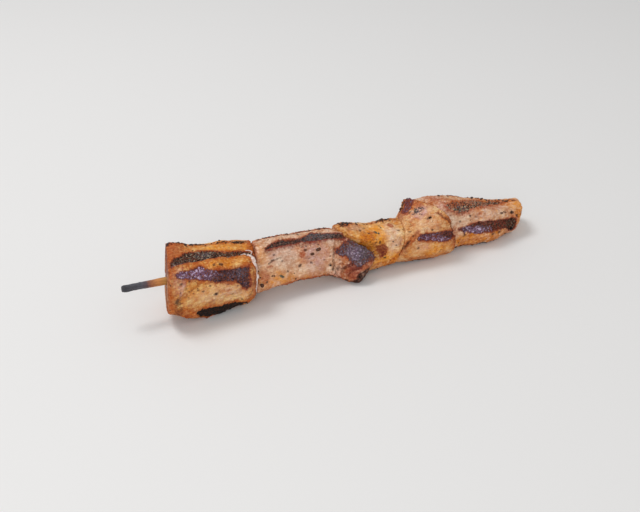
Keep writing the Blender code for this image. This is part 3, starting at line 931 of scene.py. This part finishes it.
def tube(centres, normals, reaches):
    """A closed tube through places in the stick's frame, flattened along its normals."""
    ahead = np.gradient(centres, axis=0)
    ahead /= np.linalg.norm(ahead, axis=1, keepdims=True)
    across = np.cross(ahead, normals)
    across /= np.linalg.norm(across, axis=1, keepdims=True)
    out = np.cross(across, ahead) * STRAND_FLATNESS
    rings = []
    for turn in np.linspace(0, 2 * np.pi, STRAND_SIDES, endpoint=False):
        rings.append(centres + reaches[:, None] * (across * math.cos(turn) + out * math.sin(turn)))
    places = np.stack(rings, axis=1).reshape(-1, 3)
    last = len(places) - STRAND_SIDES
    faces = [tuple(reversed(range(STRAND_SIDES))), tuple(range(last, len(places)))]
    for ring in range(0, last, STRAND_SIDES):
        for side in range(STRAND_SIDES):
            here, beside = ring + side, ring + (side + 1) % STRAND_SIDES
            faces.append((here, beside, beside + STRAND_SIDES, here + STRAND_SIDES))
    return closed_mesh("fat_strand", places, faces)


def fat_string(piece, route):
    """A string of fat of uneven thickness, laid over a piece."""
    route = np.array(route)
    steps = np.linspace(0, len(route) - 1, STRAND_RINGS * (len(route) - 1))
    path = [np.interp(steps, range(len(route)), column) for column in route.T]
    spots = [piece.spot(along, angle) for along, angle in zip(path[0], path[1])]
    centres = np.array([spot[0] for spot in spots])
    kernel = np.ones(5) / 5
    for column in range(3):
        padded = np.pad(centres[:, column], 2, mode="edge")
        centres[:, column] = np.convolve(padded, kernel, mode="valid")
    centres[:, 0] += 0.35 * uneven(centres, 1.4, 63)
    normals = np.array([spot[1] for spot in spots])
    wobble = 1 + 0.5 * uneven(centres, 1.7, 61) + 0.3 * uneven(centres, 0.8, 62)
    taper = np.minimum(1, np.minimum(steps, len(route) - 1 - steps) * 2 + 0.25)
    return tube(centres + STRAND_LIFT * normals, normals, path[2] * wobble * taper)


def cloudy_material(name, scale, detail, edges, dark, light, roughness):
    """Two colours in soft clouds, which are rougher where they are light, and the clouds' wire."""
    material, wire = new_material(name)
    cloud = wire.node("ShaderNodeTexCoord", output=3).noise(scale, detail)
    tint = cloud.between(*edges).blend(colour(*dark), colour(*light))
    cloud.shade(material, Base_Color=tint, Roughness=roughness[0] + cloud * roughness[1])
    return material, cloud


strings = [fat_string(piece, route) for piece, route in STRANDS]
bpy.ops.object.select_all(action="DESELECT")
for string in strings:
    string.select_set(True)
strand = strings[0]
bpy.context.view_layer.objects.active = strand
bpy.ops.object.join()
strand.data.shade_smooth()

fat_material, cloud = cloudy_material(
    "melted_fat", 900, 3, (0.35, 0.65), (196, 160, 146), (232, 216, 208), (0.3, 0.2)
)
cloud.shade(fat_material, Normal=cloud.bump(0.5, 0.2), Coat_Weight=0.2)
strand.data.materials.append(fat_material)
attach(strand, "root")

# ----------
# Crumbs: bits of burnt crust and cracked pepper, stuck to the meat where it was seared and along its
# edges.
# ----------
CRUMB_SEED = 8
CRUMB_SHAPE = ((0.85, 1.25), (0.7, 1.0), (0.45, 0.7))
CRUMB_LIFT = 0.08
# Crumbs with a place of their own: the piece, the place, the angle and the size.
BIG_CRUMBS = (
    (slab, -4.0, 35, 2.1), (slab, -6.8, 25, 1.5), (slab, -9.7, 43, 0.7), (slab, 0.4, -15, 1.0),
    (slab, -30.4, -27, 1.9), (slab, -31.2, 6, 0.8), (slab, -30.8, -12, 0.7),
    (block, -34.4, 36, 1.1), (block, -34.2, 29, 0.9), (block, -35.5, 57, 1.1),
    (block, -51.2, -12, 0.8), (middle, 19.7, 52, 0.9), (middle, 10.2, 100, 1.2),
    (middle, 10.4, 112, 1.4), (middle, 10.4, 92, 1.0), (middle, 25.6, -14, 0.7),
    (fold, 43.2, 136, 1.5), (fold, 46.5, 84, 0.9), (tail, 92.6, 34, 1.1), (tail, 86.3, 36, 0.9),
    (tail, 78.6, 118, 1.2), (tail, 83.4, 118, 1.2), (tail, 60.5, 112, 1.4), (tail, 64, 62, 1.2),
)
# Edges with crumbs: the piece, from and to along it, the middle angle, its spread and how many.
CRUMBED_EDGES = (
    (block, -66, -32, 121, 5, 26), (block, -64, -36, -60, 6, 16), (slab, -27, 6, 116, 6, 26),
    (slab, -26, 8, -46, 6, 20), (middle, 10, 34, 112, 6, 20), (middle, 22, 33, -50, 6, 14),
    (fold, 42, 52, 130, 8, 14), (fold, 36, 54, -48, 6, 16), (tail, 58, 98, 120, 7, 34),
    (tail, 60, 94, -44, 6, 20), (block, -64, -34, 180, 50, 26), (slab, -24, 6, 180, 45, 20),
    (middle, 14, 34, 170, 40, 14), (tail, 60, 92, 175, 45, 22),
)


def random_turn(normal, chance):
    """The turn of a bit that stands on a surface and heads anywhere."""
    upright = Vector(normal).to_track_quat("Z", "X").to_matrix()
    return np.array(upright @ Matrix.Rotation(chance.uniform(0, 6), 3, "Z")).T


def crumbs(name, spots, chance):
    """One mesh of crumbs, each an uneven lump half sunk in the surface at its spot."""
    bpy.ops.object.select_all(action="DESELECT")
    bpy.ops.mesh.primitive_ico_sphere_add(subdivisions=2, radius=0.5)
    lump = bpy.context.active_object
    ball = np.array([vert.co for vert in lump.data.vertices])
    ball_faces = [tuple(face.vertices) for face in lump.data.polygons]
    bpy.data.objects.remove(lump)
    places, faces = [], []
    for number, ((place, normal), size) in enumerate(spots):
        shape = ball * (1 + 0.45 * uneven(ball, 0.42, 900 + number))[:, None]
        shape = shape * [chance.uniform(*limits) for limits in CRUMB_SHAPE] * size
        first = len(places)
        places += list(place + shape @ random_turn(normal, chance) + CRUMB_LIFT * size * normal)
        faces += [tuple(first + corner for corner in face) for face in ball_faces]
    return closed_mesh(name, places, faces)


chance = random.Random(CRUMB_SEED)
crumb_spots = [(piece.spot(along, angle), size) for piece, along, angle, size in BIG_CRUMBS]
for piece, start, end, middle_angle, spread, count in CRUMBED_EDGES:
    for _ in range(count):
        spot = piece.spot(chance.uniform(start, end), chance.gauss(middle_angle, spread))
        crumb_spots.append((spot, chance.uniform(0.35, 0.95)))
burnt_crumbs = crumbs("burnt_crumbs", crumb_spots, chance)

crumb_material, cloud = cloudy_material(
    "burnt_crust", 700, 2, (0.4, 0.68), (26, 18, 16), (112, 66, 38), (0.4, 0.3)
)
cloud.shade(crumb_material, Specular_IOR_Level=0.3)
burnt_crumbs.data.materials.append(crumb_material)
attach(burnt_crumbs, "root")

# ----------
# Herb flakes: a few dried grey-green bits of leaf from the marinade, stuck flat on the meat.
# ----------
HERB_SEED = 21
HERBS = (
    (slab, -21.3, -20, 2.4), (middle, 23.3, 52, 2.0), (middle, 24.3, 47, 1.6), (tail, 63.2, 60, 2.0),
    (tail, 65.4, 62, 1.6), (fold, 45.0, 83, 1.3), (block, -47, 150, 1.8), (slab, -9, 140, 1.6),
    (tail, 78, 140, 1.8),
)
FLAKE_SIDES = 8
FLAKE_LIFT = 0.05
FLAKE_THICKNESS = 0.14


def flakes(name, spots, chance):
    """One mesh of thin leaf bits, each bent over its spot."""
    places, faces = [], []
    for (place, normal), length in spots:
        turned = random_turn(normal, chance)
        rims = []
        for height in (FLAKE_LIFT, FLAKE_LIFT + FLAKE_THICKNESS):
            for side in range(FLAKE_SIDES):
                turn = 2 * math.pi * side / FLAKE_SIDES
                reach = 0.5 * length * chance.uniform(0.8, 1.1)
                across = 0.45 * reach * math.sin(turn)
                over = reach * math.cos(turn)
                rims.append((over, across, height + 0.5 * across**2 - 0.05 * over**2))
        first = len(places)
        top = first + FLAKE_SIDES
        places += list(place + np.array(rims) @ turned)
        faces += [tuple(reversed(range(first, top))), tuple(range(top, top + FLAKE_SIDES))]
        for side in range(FLAKE_SIDES):
            beside = (side + 1) % FLAKE_SIDES
            faces.append((first + side, first + beside, top + beside, top + side))
    return closed_mesh(name, places, faces)


chance = random.Random(HERB_SEED)
herb_spots = [(piece.spot(along, angle), length) for piece, along, angle, length in HERBS]
herbs = flakes("herb_flakes", herb_spots, chance)
herb_material, _ = cloudy_material(
    "dried_herb", 1100, 2, (0.4, 0.6), (70, 64, 48), (120, 110, 84), (0.5, 0.2)
)
herbs.data.materials.append(herb_material)
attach(herbs, "root")

# ----------
# The table, the light and the camera: a pale plain surface under soft studio light.
# ----------
CAMERA_AZIMUTH = math.radians(-26)
CAMERA_ELEVATION = math.radians(31)
CAMERA_DISTANCE = 400 * MM
FRAME_WIDTH = 640
FRAME_MIDDLE_ROW = 256
FOCAL_LENGTH_PIXELS = 950
STICK_MIDDLE_ROW = 250.4
SENSOR_WIDTH = 36.0
NEAREST_SEEN = 0.01
TABLE_SIZE = 12
LIT_PLACE = (0, 0, 0.01)
STUDIO_BRIGHTNESS = 0.5

bpy.ops.object.select_all(action="DESELECT")
bpy.ops.mesh.primitive_plane_add(size=TABLE_SIZE)
floor = bpy.context.active_object
floor.name = "table"
floor_material, wire = new_material("pale_table")
cloud = wire.node("ShaderNodeTexNoise", None, {"Scale": 14.0, "Detail": 2.0})
tint = cloud.blend(colour(230, 229, 228), colour(234, 233, 232))
wire.shade(floor_material, Base_Color=tint, Roughness=0.6)
floor.data.materials.append(floor_material)


def soft_light(name, place, size, power):
    """A square soft box that faces the middle of the skewer."""
    light = bpy.data.lights.new(name, "AREA")
    light.size = size
    light.energy = power
    thing = bpy.data.objects.new(name, light)
    thing.location = place
    aim = Vector(LIT_PLACE) - Vector(place)
    thing.rotation_euler = aim.to_track_quat("-Z", "Y").to_euler()
    bpy.context.scene.collection.objects.link(thing)


soft_light("overhead_softbox", (-0.35, 0.35, 1.0), 0.4, 5.0)
soft_light("front_softbox", (-0.6, -1.0, 0.6), 0.6, 4.6)
studio = bpy.data.worlds.new("studio")
studio.use_nodes = True
background = studio.node_tree.nodes["Background"]
background.inputs["Color"].default_value = (1.0, 1.0, 1.0, 1.0)
background.inputs["Strength"].default_value = STUDIO_BRIGHTNESS
bpy.context.scene.world = studio
bpy.context.scene.view_settings.view_transform = "Standard"

towards = Vector(
    (
        math.sin(CAMERA_AZIMUTH) * math.cos(CAMERA_ELEVATION),
        -math.cos(CAMERA_AZIMUTH) * math.cos(CAMERA_ELEVATION),
        math.sin(CAMERA_ELEVATION),
    )
)
right = Vector((math.cos(CAMERA_AZIMUTH), math.sin(CAMERA_AZIMUTH), 0))
upward = towards.cross(right)
lift = (FRAME_MIDDLE_ROW - STICK_MIDDLE_ROW) * CAMERA_DISTANCE / FOCAL_LENGTH_PIXELS
camera_data = bpy.data.cameras.new("camera")
camera_data.sensor_width = SENSOR_WIDTH
camera_data.lens = FOCAL_LENGTH_PIXELS / FRAME_WIDTH * SENSOR_WIDTH
camera_data.clip_start = NEAREST_SEEN
camera = bpy.data.objects.new("camera", camera_data)
camera.matrix_world = Matrix.Translation(
    Vector(line_middle) + towards * CAMERA_DISTANCE - upward * lift
) @ Matrix((right, upward, towards)).transposed().to_4x4()
bpy.context.scene.collection.objects.link(camera)
bpy.context.scene.camera = camera
